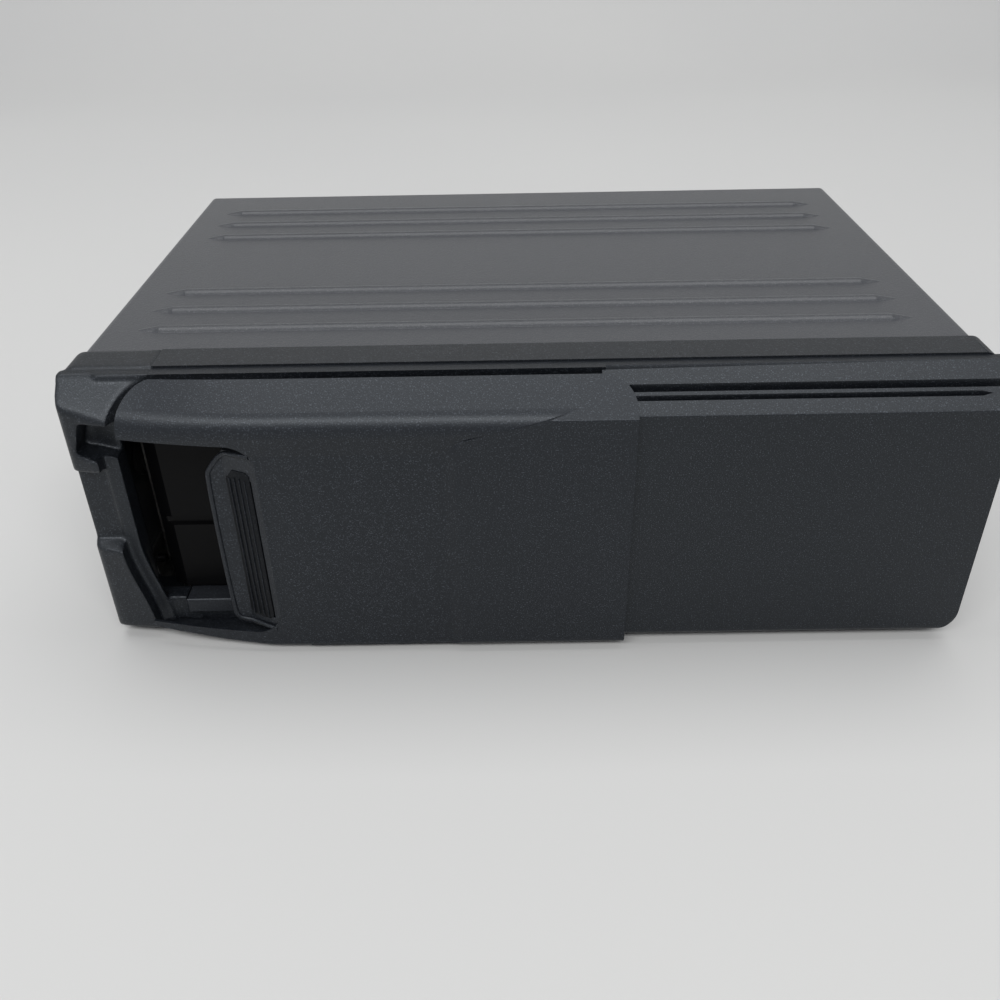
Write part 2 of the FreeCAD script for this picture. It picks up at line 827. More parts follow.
def bracket_nuts():
    nuts = []
    for s in SIDES:
        for y, z in bracket_holes:
            base = V(s * case_inner, y, z)
            inward = V(-s, 0, 0)
            nuts.append(rod(base, inward, nut_radius, nut_thick).cut(
                rod(base, inward, bracket_hole_radius, nut_thick)))
    return Part.makeCompound(nuts)


# ---- front bezel

def frame_outline(inset, corner):
    return rectangle(inset - bezel_half, bezel_half - inset, bezel_foot + inset, lip_top - inset, corner)


def bezel_section(left, right):
    # The fixed front seen from the side: slope, crease, face and foot.
    points = [(lip_front, slope_top), (groove_front, slope_top), (panel_y, crease_z, crease_radius),
              (panel_y, panel_foot, foot_radius), (lip_front, panel_foot)]
    return prism(points, "yz", left, right)


def bezel_hollow(left, right):
    roof = slope_top - bezel_wall / math.cos(math.radians(slope_angle))
    inner_y = panel_y + bezel_wall
    points = [(lip_front + 1, roof), (groove_front, roof),
              (inner_y, crease_z - bezel_wall * math.tan(math.radians(slope_angle)), crease_radius),
              (inner_y, panel_foot + bezel_wall), (lip_front + 1, panel_foot + bezel_wall)]
    return prism(points, "yz", left, right)


def right_front():
    solid = bezel_section(track_left, bezel_half)
    corner = [(track_left, panel_foot), (bezel_half, panel_foot, panel_corner),
              (bezel_half, slope_top), (track_left, slope_top)]
    solid = solid.common(prism(corner, "xz", panel_y - 1, lip_front + 1))
    solid = solid.cut(bezel_hollow(track_left + bezel_wall, bezel_half - bezel_wall))
    solid = solid.cut(block(track_left - 1, panel_left, panel_y - 1, track_front, 0, lip_top))
    solid = solid.cut(block(track_left - 1, panel_left, panel_y - 1, lip_front + 1, 0, opening_high))
    wall = bezel_section(panel_left, panel_left + bezel_wall)
    wall = wall.cut(block(panel_left - 1, panel_left + 9, inner_stop, lip_front + 1, 0, opening_high))
    return solid.fuse(wall)


def track_cuts():
    # Two slots in the slope: the door's hook runs in the first, past the right-hand end.
    slot_front = band_edge - slot_width
    rail_front = slot_front - rail_width
    second_front = rail_front - second_slot_width
    low = crease_z - track_depth
    first = block(track_left - 1, bezel_half + 1, slot_front, band_edge, low, lip_top)
    second = [(track_left + second_slot_inset, rail_front), (track_left + second_slot_inset, second_front),
              (second_slot_end, second_front), (second_slot_end + second_slot_point, (second_front + rail_front) / 2),
              (second_slot_end, rail_front)]
    channel = block(track_left - 1, bezel_half + 1, second_front, band_edge, hook_low - 2 * guide_gap,
                    hook_low + hook_foot + 2 * guide_gap)
    return [first, prism(second, "xy", low, lip_top), channel]


def set_back(x):
    # How far the left end of the front falls back at x, on an arc.
    return end_radius - math.sqrt(end_radius ** 2 - (x - end_start) ** 2)


def left_front():
    # Post left of the opening and the shoulder over it: slope, rounded brow, face and foot.
    left = -bezel_half
    far = opening_left + shoulder_right
    front = panel_y + set_back(left)
    lean = (set_back(opening_left) - set_back(left)) / (opening_left - left)
    far_front = front + lean * (far - left)
    drop = far_front - groove_front
    body = prism([(left, lip_front), (left, front), (far, far_front), (far, lip_front)], "xy", panel_foot, slope_top)
    body = body.cut(prism([(groove_front, slope_top), (groove_front + 2 * drop, slope_top + 2 * drop * post_slope),
                           (groove_front + 2 * drop, slope_top + 1), (groove_front, slope_top + 1)],
                          "yz", left - 1, far + 1))
    long_edges = [edge for edge in body.Edges
                  if edge.BoundBox.XLength > far - left - 1 and edge.BoundBox.YMin < far_front + 1]
    brow = [edge for edge in long_edges if edge.BoundBox.ZMax > panel_foot + 1]
    body = body.makeFillet(brow_radius, brow)
    foot = [edge for edge in body.Edges
            if edge.BoundBox.XLength > far - left - 1 and edge.BoundBox.YMin < far_front + 1
            and edge.BoundBox.ZMax < panel_foot + 0.1]
    body = body.makeFillet(foot_radius, foot)
    body = body.common(prism([(left, lip_front), (left, front, post_radius), (far, far_front), (far, lip_front)],
                             "xy", panel_foot - 1, slope_top + 1))
    door_side = door_left + door_lean - shoulder_gap
    strip_left = opening_left - strip_width
    deep = far_front - 1
    cuts = [block(opening_left, far + 1, deep, lip_front + 1, panel_foot - 1, opening_high),
            prism([(door_side, deep), (far + 1, deep), (far + 1, header_y),
                   (door_side, header_y, shoulder_corner)], "xy", opening_high - 1, slope_top + 1),
            block(strip_left, opening_left, deep, strip_y, panel_foot - 1, opening_high)]
    scoop = [(front + scoop_cut, scoop_low), (front + scoop_cut, scoop_high), (deep, scoop_high + scoop_run / 2),
             (deep, scoop_low - scoop_run)]
    cuts.append(prism(scoop, "yz", left - 1, strip_left))
    notch = [(left + notch_side, notch_low + notch_side), (left + 2 * notch_side, opening_high),
             (opening_left, opening_high), (opening_left, notch_low)]
    cuts.append(prism(notch, "xz", deep, front + notch_depth))
    return body.cut(cuts[0].multiFuse(cuts[1:]))


def front_bezel():
    skirt_half = case_inner - sheet_gap
    inner_half = skirt_half - bezel_wall
    skirt_high = cover_under - sheet_gap
    ring = prism(frame_outline(0, lip_corner), "xz", lip_front, cover_front)
    neck = prism(frame_outline(groove_depth, lip_corner - groove_depth), "xz", groove_front, lip_front)
    skirt = prism(rectangle(-skirt_half, skirt_half, sheet + sheet_gap, skirt_high, skirt_corner),
                  "xz", cover_front, cover_front + skirt_depth)
    shell = fused([ring, neck, skirt])
    hollow = prism(rectangle(-inner_half, inner_half, panel_foot, skirt_high - bezel_wall, skirt_corner),
                   "xz", groove_front - 1, cover_front + skirt_depth + 1)
    shell = shell.cut(hollow)
    header = block(opening_left - bezel_wall, track_left + 1, header_y, lip_front, opening_high, slope_top)
    sill = block(opening_left - bezel_wall, opening_right, sill_y, lip_front, panel_foot, opening_low)
    jamb = block(opening_right, panel_left + 1, jamb_y, inner_stop, panel_foot, opening_high)
    seat_y = button_back + button_travel + 2 * guide_gap
    seat = block(spring_seat_x - seat_half, spring_seat_x + seat_half, seat_y, seat_y + seat_depth,
                 panel_foot - 1, opening_low)
    shell = fused([shell, right_front(), left_front(), header, sill, jamb, seat])
    window = block(button_left - button_gap, button_right + button_gap, sill_y - 1, lip_front + 1,
                   button_low - button_gap, opening_low + 1)
    bore = rod(V(spring_seat_x, lip_front, spring_seat_z), V(0, 1, 0),
               button_spring_radius + button_spring_wire, seat_y + seat_depth - seat_floor - lip_front)
    lip_groove = block(opening_left, bezel_half + 1, groove_y - guide_width, groove_y, 0,
                       panel_foot + guide_depth)
    return shell.cut(window.multiFuse([bore, lip_groove] + track_cuts()))


# ---- sliding door

def door_inside(y):
    return door_inner_crease_z + (y - door_back_y) * slope


def door_profile(front, back, share):
    # The door's wall seen from the side, from its front's corners round to the back.
    top_y = door_top_y + share * end_top_back
    rise = share * end_top_rise
    inner_y = door_back_y + back
    return [(top_y, door_top_z + rise)] + front + [
        (inner_y, door_foot), (inner_y, door_inner_crease_z - share * end_crease_drop),
        (top_y, door_inside(door_top_y) + rise)]


def door_section(x):
    # The scooped part: a soft brow over a face that lies back.
    back = set_back(x) if x < end_start else 0.0
    share = back / set_back(door_left)
    drop = share * end_brow_drop
    front = [(door_y + back, door_crease_z - share * end_crease_drop, door_brow_radius + share * end_brow_growth),
             (door_y + back, brow_front_z - drop), (door_face_y + back, brow_foot_z - drop),
             (door_face_y + back, door_foot, foot_radius / 2)]
    return rounded_wire(door_profile(front, back, share), "yz", x)


def door_body():
    # A straight stretch, and the left end drawn through stations along the set-back arc.
    lead = end_start + end_lead
    stations = [lead] + [end_start + (door_left - end_start) * i / end_stations for i in range(end_stations + 1)]
    end = Part.makeLoft([door_section(x) for x in stations], True)
    return Part.Face(door_section(lead)).extrude(V(door_right - lead, 0, 0)).fuse(end)


def flush_outline(left):
    # Front view of the door's flush right part; its upper border climbs slowly to the crease.
    climb = scoop_fade_drop / scoop_fade
    turn_z = door_crease_z - scoop_fade_drop + (left - scoop_right - scoop_ramp) * climb
    return [(left, door_foot), (left, turn_z, scoop_radius),
            (door_right, turn_z + (door_right - left) * climb), (door_right, door_foot)]


def flush_part():
    # Stands proud of the scooped part, with a wide soft edge.
    deep = rounded_wire(flush_outline(scoop_right), "xz", door_face_y)
    proud = rounded_wire(flush_outline(scoop_right + scoop_ramp), "xz", door_y)
    zone = Part.makeLoft([deep, proud], True, True).fuse(
        prism(flush_outline(scoop_right), "xz", door_face_y, door_top_y))
    wall = prism(door_profile([(door_y, door_crease_z, crease_radius), (door_y, door_foot, foot_radius)], 0, 0),
                 "yz", scoop_right - 1, door_right)
    return wall.common(zone)


def sliding_door():
    door = door_body().fuse(flush_part()).removeSplitter()
    front = door_y - 1
    back = door_top_y + end_top_back
    top_left = door_left + door_lean
    plan = [(top_left, front), (door_right, front), (door_right, door_top_y, door_corner_right),
            (end_start, door_top_y), (cut_right, back), (top_left, back, door_corner_left)]
    upper = prism(plan, "xy", cut_high, lip_top + 2)
    door = door.common(upper.fuse(block(door_left - 1, door_right, front, back, 0, cut_high)))
    far = 2 * door_left - cut_right
    opening = [(far, cut_low + cut_rise_low), (cut_right, cut_low, cut_corner),
               (cut_right, cut_high, cut_corner), (far, cut_high + cut_rise_high)]
    below = [(far, door_foot - 1), (cut_right, door_foot - 1), (cut_right, door_foot),
             (door_left, door_foot + foot_rise), (far, door_foot + 2 * foot_rise)]
    door = door.cut(prism(opening, "xz", front, back + 1).fuse(prism(below, "xz", front, back + 1)))
    lip_back = groove_y - (guide_width - door_lip_wall) / 2
    lip_front_y = lip_back - door_lip_wall
    lip_high = panel_foot + guide_depth - door_gap
    lip = [(door_back_y - door_lip_wall, door_foot), (lip_back, door_foot), (lip_back, lip_high), (lip_front_y, lip_high),
           (lip_front_y, door_foot + door_lip_wall), (door_back_y - door_lip_wall, door_foot + door_lip_wall)]
    lower = prism(lip, "yz", end_start + 2, door_right)
    hook_front = hook_back - hook_wall
    hook = [(hook_back, door_inside(hook_back) + door_gap), (hook_back, hook_low), (hook_front - rail_width, hook_low),
            (hook_front - rail_width, hook_low + hook_foot), (hook_front, hook_low + hook_foot),
            (hook_front, door_inside(hook_front) + door_gap)]
    hook_left = door_right - hook_inset
    hooks = prism(hook, "yz", hook_left, hook_left + hook_length)
    return door.multiFuse([lower, hooks, grip()]).removeSplitter().Solids[0]


def grip():
    # Dished finger grip inside the cut-out: a ribbed ramp that falls back, then a plain strip.
    face = door_face_y
    floor = face + grip_depth
    back = floor + grip_wall
    outline = [(cut_right + 1, grip_low - 1), (grip_rim, grip_low, grip_corner), (grip_rim, grip_turn, grip_corner),
               (cut_right - grip_shoulder, grip_high), (cut_right + 1, grip_high + 1)]
    plan = [(cut_right + 1, face), (cut_right, face), (grip_fold, floor), (grip_rim - 2, floor),
            (grip_rim - 2, back), (grip_fold + 2, back), (cut_right + 1, door_back_y + grip_wall)]
    body = prism(plan, "xy", 0, lip_top).common(prism(outline, "xz", door_y - 1, back + 1))
    grooves = []
    for i in range(groove_count):
        right = cut_right - groove_inset - i * groove_pitch
        left = right - groove_pitch + fin_wall
        fall = grip_depth / (cut_right - grip_fold)
        right_y = face + (cut_right - right) * fall
        left_y = face + (cut_right - left) * fall
        grooves.append(prism([(right, right_y - 3), (right, right_y + groove_cut), (left, left_y + groove_cut),
                              (left, left_y - 3)], "xy", groove_low, groove_high))
    return body.cut(grooves[0].multiFuse(grooves[1:]))


# ---- magazine and trays

def magazine_shell():
    front = magazine_front
    right = magazine_right
    plan = [(magazine_left, front + magazine_edge * 0.6), (magazine_left + magazine_edge, front),
            (right, front, 2.0), (right, magazine_back, 2.0), (magazine_left, magazine_back, 4.0)]
    body = prism(plan, "xy", magazine_low, magazine_high)
    wall = magazine_wall
    cavity = block(magazine_left + wall, right + 1, front + wall, magazine_back - wall,
                   magazine_low + wall, magazine_high - wall)
    body = body.cut(cavity)
    ledge = prism([(front - 1, magazine_step_low), (front + magazine_step_depth, magazine_step_low + 1),
                   (front + magazine_step_depth, magazine_step_high - 0.5), (front - 1, magazine_step_high + 0.5)],
                  "yz", magazine_left - 1, right + 1)
    body = body.cut(ledge)
    ribs = []
    for i in range(1, tray_count):
        low = tray_low + i * tray_pitch - tray_gap - rib_wall
        for y in (front + wall - 0.5, magazine_back - wall - rib_reach):
            ribs.append(block(magazine_left + wall, right, y, y + rib_reach + 0.5, low, low + rib_wall))
    return body.multiFuse(ribs).removeSplitter()


def tray(number):
    # A thin carrier with a round pocket for the disc and a window for hub and pickup.
    low = tray_low + number * tray_pitch
    left = tray_left
    right = tray_left + tray_length
    front = magazine_front + magazine_wall + tray_gap
    back = magazine_back - magazine_wall - tray_gap
    body = prism([(left, front, tray_corner_left), (right, front, tray_corner_right), (right, back, tray_corner_right),
                  (left, back, tray_corner_left)], "xy", low, low + tray_thick)
    top = V(0, 0, 1)
    body = body.cut(rod(V(disc_x, disc_y, low + tray_thick - pocket_depth), top, disc_pocket, tray_thick))
    window = rod(V(disc_x, disc_y, low - 1), top, hub_window, tray_thick + 2)
    reading = block(disc_x - read_window_half, disc_x + read_window_half, disc_y, back - read_window_wall,
                    low - 1, low + tray_thick + 1)
    return body.cut(window.fuse(reading))


# ---- floating frame

def mech_frame():
    half = frame_half
    t = frame_sheet
    floor = block(-half, bay_right, bay_front, frame_back, bay_floor, bay_floor + t)
    left = block(-half, -half + t, bay_front, frame_back, bay_floor, frame_high)
    right = block(half - t, half, frame_front, frame_back, frame_low, frame_high)
    rear = block(-half, half, frame_back - t, frame_back, bay_floor, frame_high)
    rear_low = block(bay_right - t, half, frame_back - t, frame_back, frame_low, bay_floor)
    front = block(bay_right, half, frame_front, frame_front + t, frame_low, frame_front_high)
    step = block(bay_right - t, bay_right, frame_front, frame_back, frame_low, bay_floor + t)
    tab_low = spring_high + spring_wire
    tabs = [across(s, half, half + suspension_gap - tab_gap, spring_y - spring_tab, spring_y + spring_tab,
                   tab_low, tab_low + t) for s in SIDES]
    frame = fused([floor, left, right, rear, rear_low, front, step] + tabs)
    cuts = [block(floor_rim - half, bay_right - floor_rim, bay_front + floor_rim, frame_back - floor_rim,
                  bay_floor - 1, bay_floor + 2)]
    for x in pin_places:
        for low_y in (frame_front - 1, frame_back - t - 1):
            cuts.append(slot((x, pin_z - lift_travel), (x, pin_z), 2 * (pin_radius + pin_fit), "xz", low_y, low_y + 3))
    for x in stud_places:
        for low_y in (frame_front - 1, frame_back - t - 1):
            cuts.append(rod(V(x, low_y, stud_z), V(0, 1, 0), stud_radius, 3))
    for i in range(frame_windows):
        x = magazine_left + frame_window_start + i * frame_window_pitch
        cuts.append(prism(rectangle(x, x + frame_window, magazine_low + frame_window_rim,
                                    frame_high - frame_window_rim, frame_window_corner),
                          "xz", frame_back - 2, frame_back + 1))
    return frame.cut(cuts[0].multiFuse(cuts[1:]))


def cam_studs():
    studs = []
    for x in stud_places:
        for wall_y, out in ((frame_front + frame_sheet, -1), (frame_back - frame_sheet, 1)):
            reach = frame_sheet + cam_gap + cam_sheet + cam_gap
            base = V(x, wall_y, stud_z)
            studs.append(turned([(0, stud_radius), (reach, stud_radius), (reach, stud_radius + stud_head),
                                 (reach + stud_head_thick, stud_radius + stud_head)], base, V(0, out, 0)))
    return Part.makeCompound(studs)


def cam_plate(y, racked):
    outline = rectangle(cam_left, cam_right, cam_low, cam_high, cam_corner)
    plate = prism(outline, "xz", y, y + cam_sheet)
    cuts = []
    width = 2 * (pin_radius + pin_fit)
    for x in pin_places:
        cuts.append(slot((x - cam_run, pin_z - lift_travel), (x, pin_z), width, "xz", y - 1, y + cam_sheet + 1))
    for x in stud_places:
        cuts.append(slot((x - cam_run, stud_z), (x, stud_z), 2 * (stud_radius + pin_fit), "xz",
                         y - 1, y + cam_sheet + 1))
    plate = plate.cut(cuts[0].multiFuse(cuts[1:]))
    if not racked:
        return plate
    outline = rack_outline(pinion_x - cam_run - rack_spare, pinion_x + rack_spare, pinion_x, rack_z,
                           cam_high - cam_sheet / 2)
    return plate.fuse(prism(outline, "xz", y, y + rack_thick))


def lift_gear():
    # Pinion on the rack and worm wheel behind it, moulded in one piece on a bored hub.
    centre = V(pinion_x, rear_cam_y, pinion_z)
    back = V(0, 1, 0)
    small = gear(pinion_teeth, rack_thick + rack_spacer, centre, back, 90)
    hub = rod(centre, back, hub_radius, wheel_y - rear_cam_y)
    wheel = gear(wheel_teeth, wheel_thick, V(pinion_x, wheel_y, pinion_z), back, 0)
    bore = rod(centre - back, back, shaft_radius + rod_fit, wheel_y + wheel_thick + 2 - rear_cam_y)
    return fused([small, hub, wheel]).cut(bore)


def worm_shape(base, axis, radius, length, shaft, reach):
    # Threads as close rings on a shaft.
    pitch = math.pi * gear_module
    count = int(length / pitch)
    root = radius - 0.9 * gear_module
    profile = [(-reach, shaft), (0, shaft), (0, root)]
    for i in range(count):
        start = i * pitch
        profile += [(start + pitch * 0.15, root), (start + pitch * 0.4, radius), (start + pitch * 0.6, radius),
                    (start + pitch * 0.85, root)]
    profile += [(count * pitch, root), (count * pitch, shaft), (length + shaft_radius, shaft)]
    return turned(profile, base, axis)


def lift_worm():
    base = V(worm_x, worm_y, pinion_z - worm_length / 2)
    return worm_shape(base, V(0, 0, 1), worm_radius, worm_length, shaft_radius, base.z - lift_motor_top)


def lift_motor():
    half = lift_motor_width / 2
    low = lift_motor_top - lift_motor_height
    can = prism(rectangle(worm_x - half, worm_x + half, worm_y - lift_motor_depth / 2,
                          worm_y + lift_motor_depth / 2, lift_motor_corner), "xy", low, lift_motor_top)
    terminals = [across(1, worm_x + s * terminal_place - terminal / 2, worm_x + s * terminal_place + terminal / 2,
                        worm_y - terminal / 4, worm_y + terminal / 4, low - 2 * terminal, low) for s in SIDES]
    return can.multiFuse(terminals)


def lift_bracket():
    # Shelf over the motor, hung from the frame above the cam plate; and the gear's axle.
    back = worm_y + lift_motor_depth / 2
    right = worm_x + lift_motor_width / 2 + 2 * bracket_wall
    front = rear_cam_y + rack_thick + rack_spacer
    high = frame_high - bracket_drop
    low = high - bracket_tab
    shelf = block(worm_x - lift_motor_width / 2, right, front, back, lift_motor_top, lift_motor_top + bracket_wall)
    side = block(right - bracket_wall, right, front, back, lift_motor_top, high)
    tongue = block(right - bracket_wall, right, frame_back, front, low, high)
    tab = block(right - bracket_tab_width, right, frame_back, frame_back + bracket_wall, low, high)
    axle = rod(V(pinion_x, frame_back, pinion_z), V(0, 1, 0), shaft_radius,
               wheel_y + wheel_thick + axle_spare - frame_back)
    hole = rod(V(worm_x, worm_y, lift_motor_top - 1), V(0, 0, 1), shaft_radius + guide_gap, bracket_wall + 2)
    return Part.makeCompound([fused([shelf, side, tongue, tab]).cut(hole), axle])


def magazine_runners():
    # Plastic runners that carry the magazine in its bay.
    low = bay_floor + frame_sheet
    high = magazine_low - guide_gap
    left_wall = frame_sheet - frame_half
    right_wall = bay_right - frame_sheet
    side_high = magazine_low + runner_side
    strips = [fused([block(left_wall, magazine_left + runner_width, bay_front, magazine_back, low, high),
                     block(left_wall, magazine_left - guide_gap, bay_front + runner_lead, magazine_back, low,
                           side_high)]),
              fused([block(magazine_right - runner_width, right_wall, bay_front, magazine_back, low, high),
                     block(magazine_right + guide_gap, right_wall, bay_front - runner_lead, magazine_back, low,
                           side_high)])]
    upper = block(left_wall, magazine_left - guide_gap, bay_front + 2 * runner_lead, magazine_back,
                  magazine_high - 2 * runner_lead, magazine_high - runner_lead)
    return Part.makeCompound(strips + [upper])


# ---- drive unit

def drive_chassis():
    front = drive_front_y
    back = drive_back_y + drive_flange
    plate = block(drive_left, drive_right, front, back, drive_plate_z, drive_top_z)
    front_wall = block(drive_left, drive_right, front, front + drive_flange, drive_plate_z, drive_front_high)
    back_wall = block(drive_left + chassis_step, drive_right - chassis_step, drive_back_y, back, drive_plate_z,
                      drive_front_high)
    ear_half = clamp_root_half + rod_block
    ear = block(spindle_x - ear_half, spindle_x + ear_half, drive_back_y, back, drive_front_high - 1, drive_back_high)
    rod_start = disc_y + spindle_motor_radius
    blocks = [block(x - rod_block, x + rod_block, y, y + rod_block, drive_top_z, rod_z + rod_block)
              for x in rod_places for y in (rod_start, drive_back_y - rod_block)]
    axle = rod(V(sled_gear_x, sled_gear_y, drive_plate_z), V(0, 0, 1), shaft_radius,
               sled_gear_z + sled_gear_thick + shaft_radius - drive_plate_z)
    body = fused([plate, front_wall, back_wall, ear, axle] + blocks + hinge_lugs())
    opening_half = pickup_half + 1
    cuts = [block(spindle_x - opening_half, spindle_x + opening_half, rod_start + 2 * rod_block,
                  drive_back_y - 2 * rod_block, drive_plate_z - 1, drive_top_z)]
    cuts += [rod(V(x, disc_y, rod_z), V(0, 1, 0), rod_radius, drive_back_y - disc_y) for x in rod_places]
    for y in (front - 1, drive_back_y - 1):
        cuts += [rod(V(x, y, pin_z), V(0, 1, 0), pin_neck, 4) for x in pin_places]
    for side in SIDES:
        x = spindle_x + side * (chassis_window_gap + chassis_window) / 2
        cuts.append(prism(rectangle(x - chassis_window / 2, x + chassis_window / 2, front + chassis_window_front,
                                    disc_y - turntable_radius, cam_corner), "xy", drive_plate_z - 1, drive_top_z + 1))
    return body.cut(cuts[0].multiFuse(cuts[1:]))


def hinge_lugs():
    # Lugs on the back wall that hold the clamp arm's pivots.
    lugs = []
    for s in SIDES:
        x = spindle_x + s * (clamp_root_half - lug_place)
        lug = block(x - lug_wall / 2, x + lug_wall / 2, hinge_y - lug_half, drive_back_y, hinge_z - lug_half,
                    hinge_z + lug_half)
        lugs.append(lug.cut(rod(V(x - lug_wall, hinge_y, hinge_z), V(1, 0, 0), clamp_pivot_radius + rod_fit,
                                2 * lug_wall)))
    return lugs


def lift_pins():
    pins = []
    for x in pin_places:
        front_tip = front_cam_y - cam_sheet
        pins.append(turned([(0, pin_neck), (drive_flange, pin_neck), (drive_flange, pin_radius),
                            (drive_front_y + drive_flange - front_tip, pin_radius)],
                           V(x, drive_front_y + drive_flange, pin_z), V(0, -1, 0)))
        back_tip = rear_cam_y + 2 * cam_sheet
        pins.append(turned([(0, pin_neck), (drive_flange, pin_neck), (drive_flange, pin_radius),
                            (back_tip - drive_back_y, pin_radius)],
                           V(x, drive_back_y, pin_z), V(0, 1, 0)))
    return Part.makeCompound(pins)


def spindle_motor():
    base = V(spindle_x, disc_y, drive_top_z)
    return turned([(0, spindle_motor_radius), (spindle_motor_height - 1, spindle_motor_radius),
                   (spindle_motor_height, spindle_motor_radius - 1)], base, V(0, 0, 1))


def turntable():
    edge = turntable_thick * 0.3
    top = turntable_top - centring_height
    low = top - turntable_thick
    neck = spindle_neck
    return turned([(drive_top_z + spindle_motor_height, neck), (low, neck), (low, turntable_radius - edge),
                   (low + edge, turntable_radius), (top, turntable_radius), (top, centring_radius),
                   (turntable_top, centring_radius - centring_height)], V(spindle_x, disc_y, 0), V(0, 0, 1))


def guide_rods():
    start = disc_y + spindle_motor_radius
    return Part.makeCompound([rod(V(x, start, rod_z), V(0, 1, 0), rod_radius, drive_back_y - start)
                              for x in rod_places])


def pickup_body():
    low = drive_top_z + pickup_lift
    high = low + pickup_height
    right = spindle_x + pickup_half
    body = prism(rectangle(spindle_x - pickup_half, right, pickup_front, pickup_front + pickup_length, pickup_corner),
                 "xy", low, high)
    outline = rack_outline(sled_gear_y - sled_travel - rack_spare, sled_gear_y + rack_spare, sled_gear_y, sled_pitch_x,
                           right - rod_fit)
    strip = prism([(v, u) for u, v in outline], "xy", sled_gear_z, sled_gear_z + sled_gear_thick)
    cuts = [rod(V(x, pickup_front - 1, rod_z), V(0, 1, 0), rod_radius + rod_fit, pickup_length + 2)
            for x in rod_places]
    cuts.append(rod(V(spindle_x, lens_y, high - lens_recess), V(0, 0, 1), lens_radius + lens_play, 2 * lens_recess))
    return body.fuse(strip).cut(cuts[0].multiFuse(cuts[1:]))


def pickup_lens():
    base = V(spindle_x, lens_y, drive_top_z + pickup_lift + pickup_height - lens_recess)
    return turned([(0, lens_radius), (lens_recess * 0.8, lens_radius), (lens_recess, lens_radius * 0.7),
                   (lens_recess * 1.3, lens_radius * 0.2)], base, V(0, 0, 1))


def sled_gear():
    up = V(0, 0, 1)
    hub_low = drive_top_z + guide_gap
    body = gear(sled_teeth, sled_gear_thick, V(sled_gear_x, sled_gear_y, sled_gear_z), up, 180)
    hub = rod(V(sled_gear_x, sled_gear_y, hub_low), up, sled_hub_radius, sled_gear_z - hub_low)
    bore = rod(V(sled_gear_x, sled_gear_y, drive_top_z), up, shaft_radius + rod_fit, pickup_height)
    return body.fuse(hub).cut(bore)


def sled_motor():
    base = V(sled_worm_x, sled_gear_y - sled_worm_lead - sled_worm_neck - sled_motor_length, sled_worm_z)
    can = turned([(0, sled_motor_radius - sled_motor_edge), (sled_motor_edge, sled_motor_radius),
                  (sled_motor_length, sled_motor_radius)], base, V(0, 1, 0))
    return can.common(block(base.x - sled_motor_length, base.x + sled_motor_length, base.y - 1,
                            base.y + 2 * sled_motor_length, drive_top_z, base.z + sled_motor_length))


def sled_worm():
    base = V(sled_worm_x, sled_gear_y - sled_worm_lead, sled_worm_z)
    return worm_shape(base, V(0, 1, 0), sled_worm_radius, sled_worm_length, sled_shaft_radius, sled_worm_neck)


def clamp_arm():
    # Bridge over the disc, hinged at the back and carrying the puck at its free end.
    low = puck_z + puck_thick + clamp_float
    high = low + clamp_wall
    root = clamp_root_half - clamp_shoulder
    taper_y = hinge_y - clamp_taper
    web_y = hinge_y - 2 * clamp_wall
    plan = [(spindle_x - clamp_half, disc_y - clamp_half, cam_corner), (spindle_x + clamp_half, disc_y - clamp_half, cam_corner),
            (spindle_x + clamp_half, taper_y), (spindle_x + root, web_y), (spindle_x + root, hinge_y),
            (spindle_x - root, hinge_y), (spindle_x - root, web_y), (spindle_x - clamp_half, taper_y)]
    arm = prism(plan, "xy", low, high)
    barrel = rod(V(spindle_x - root, hinge_y, hinge_z), V(1, 0, 0), clamp_hinge_radius, 2 * root)
    pivots = [rod(V(spindle_x + s * root, hinge_y, hinge_z), V(s, 0, 0), clamp_pivot_radius, clamp_shoulder)
              for s in SIDES]
    hole = rod(V(spindle_x, disc_y, low - 1), V(0, 0, 1), puck_neck + guide_gap, clamp_wall + 2)
    return fused([arm, barrel] + pivots).cut(hole)


def clamp_puck():
    edge = puck_thick * 0.25
    cap = puck_thick + clamp_float + clamp_wall + clamp_float * 0.8
    return turned([(0, puck_radius - 1), (edge, puck_radius), (puck_thick, puck_radius), (puck_thick, puck_neck),
                   (cap, puck_neck), (cap, puck_cap_radius), (cap + puck_cap, puck_cap_radius)],
                  V(spindle_x, disc_y, puck_z), V(0, 0, 1))


# ---- suspension and dials

def suspension_boots():
    boots = []
    length = suspension_gap - boot_gap
    for s in SIDES:
        for y in boot_rows:
            shape = turned([(0, boot_radius), (length * 0.3, boot_radius), (length * 0.45, boot_waist),
                            (length * 0.6, boot_waist), (length * 0.75, boot_tip), (length, boot_tip)],
                           V(s * frame_half, y, boot_z), V(s, 0, 0))
            boots.append(shape.cut(rod(V(s * (frame_half + boot_floor), y, boot_z), V(s, 0, 0),
                                       suspension_stud_radius, suspension_gap)))
    return Part.makeCompound(boots)


def suspension_studs():
    tip = suspension_gap - boot_floor - stud_play
    flange = suspension_stud_radius + stud_flange
    return Part.makeCompound([
        turned([(0, flange), (stud_flange_thick, flange), (stud_flange_thick, suspension_stud_radius),
                (tip, suspension_stud_radius)], V(s * case_inner, y, boot_z), V(-s, 0, 0))
        for s in SIDES for y in boot_rows])


def suspension_springs():
    out = frame_half + spring_radius + boot_gap
    return Part.makeCompound([spring(V(s * out, spring_y, spring_low), V(0, 0, 1), spring_radius, spring_wire,
                                     spring_high - spring_low, spring_turns) for s in SIDES])


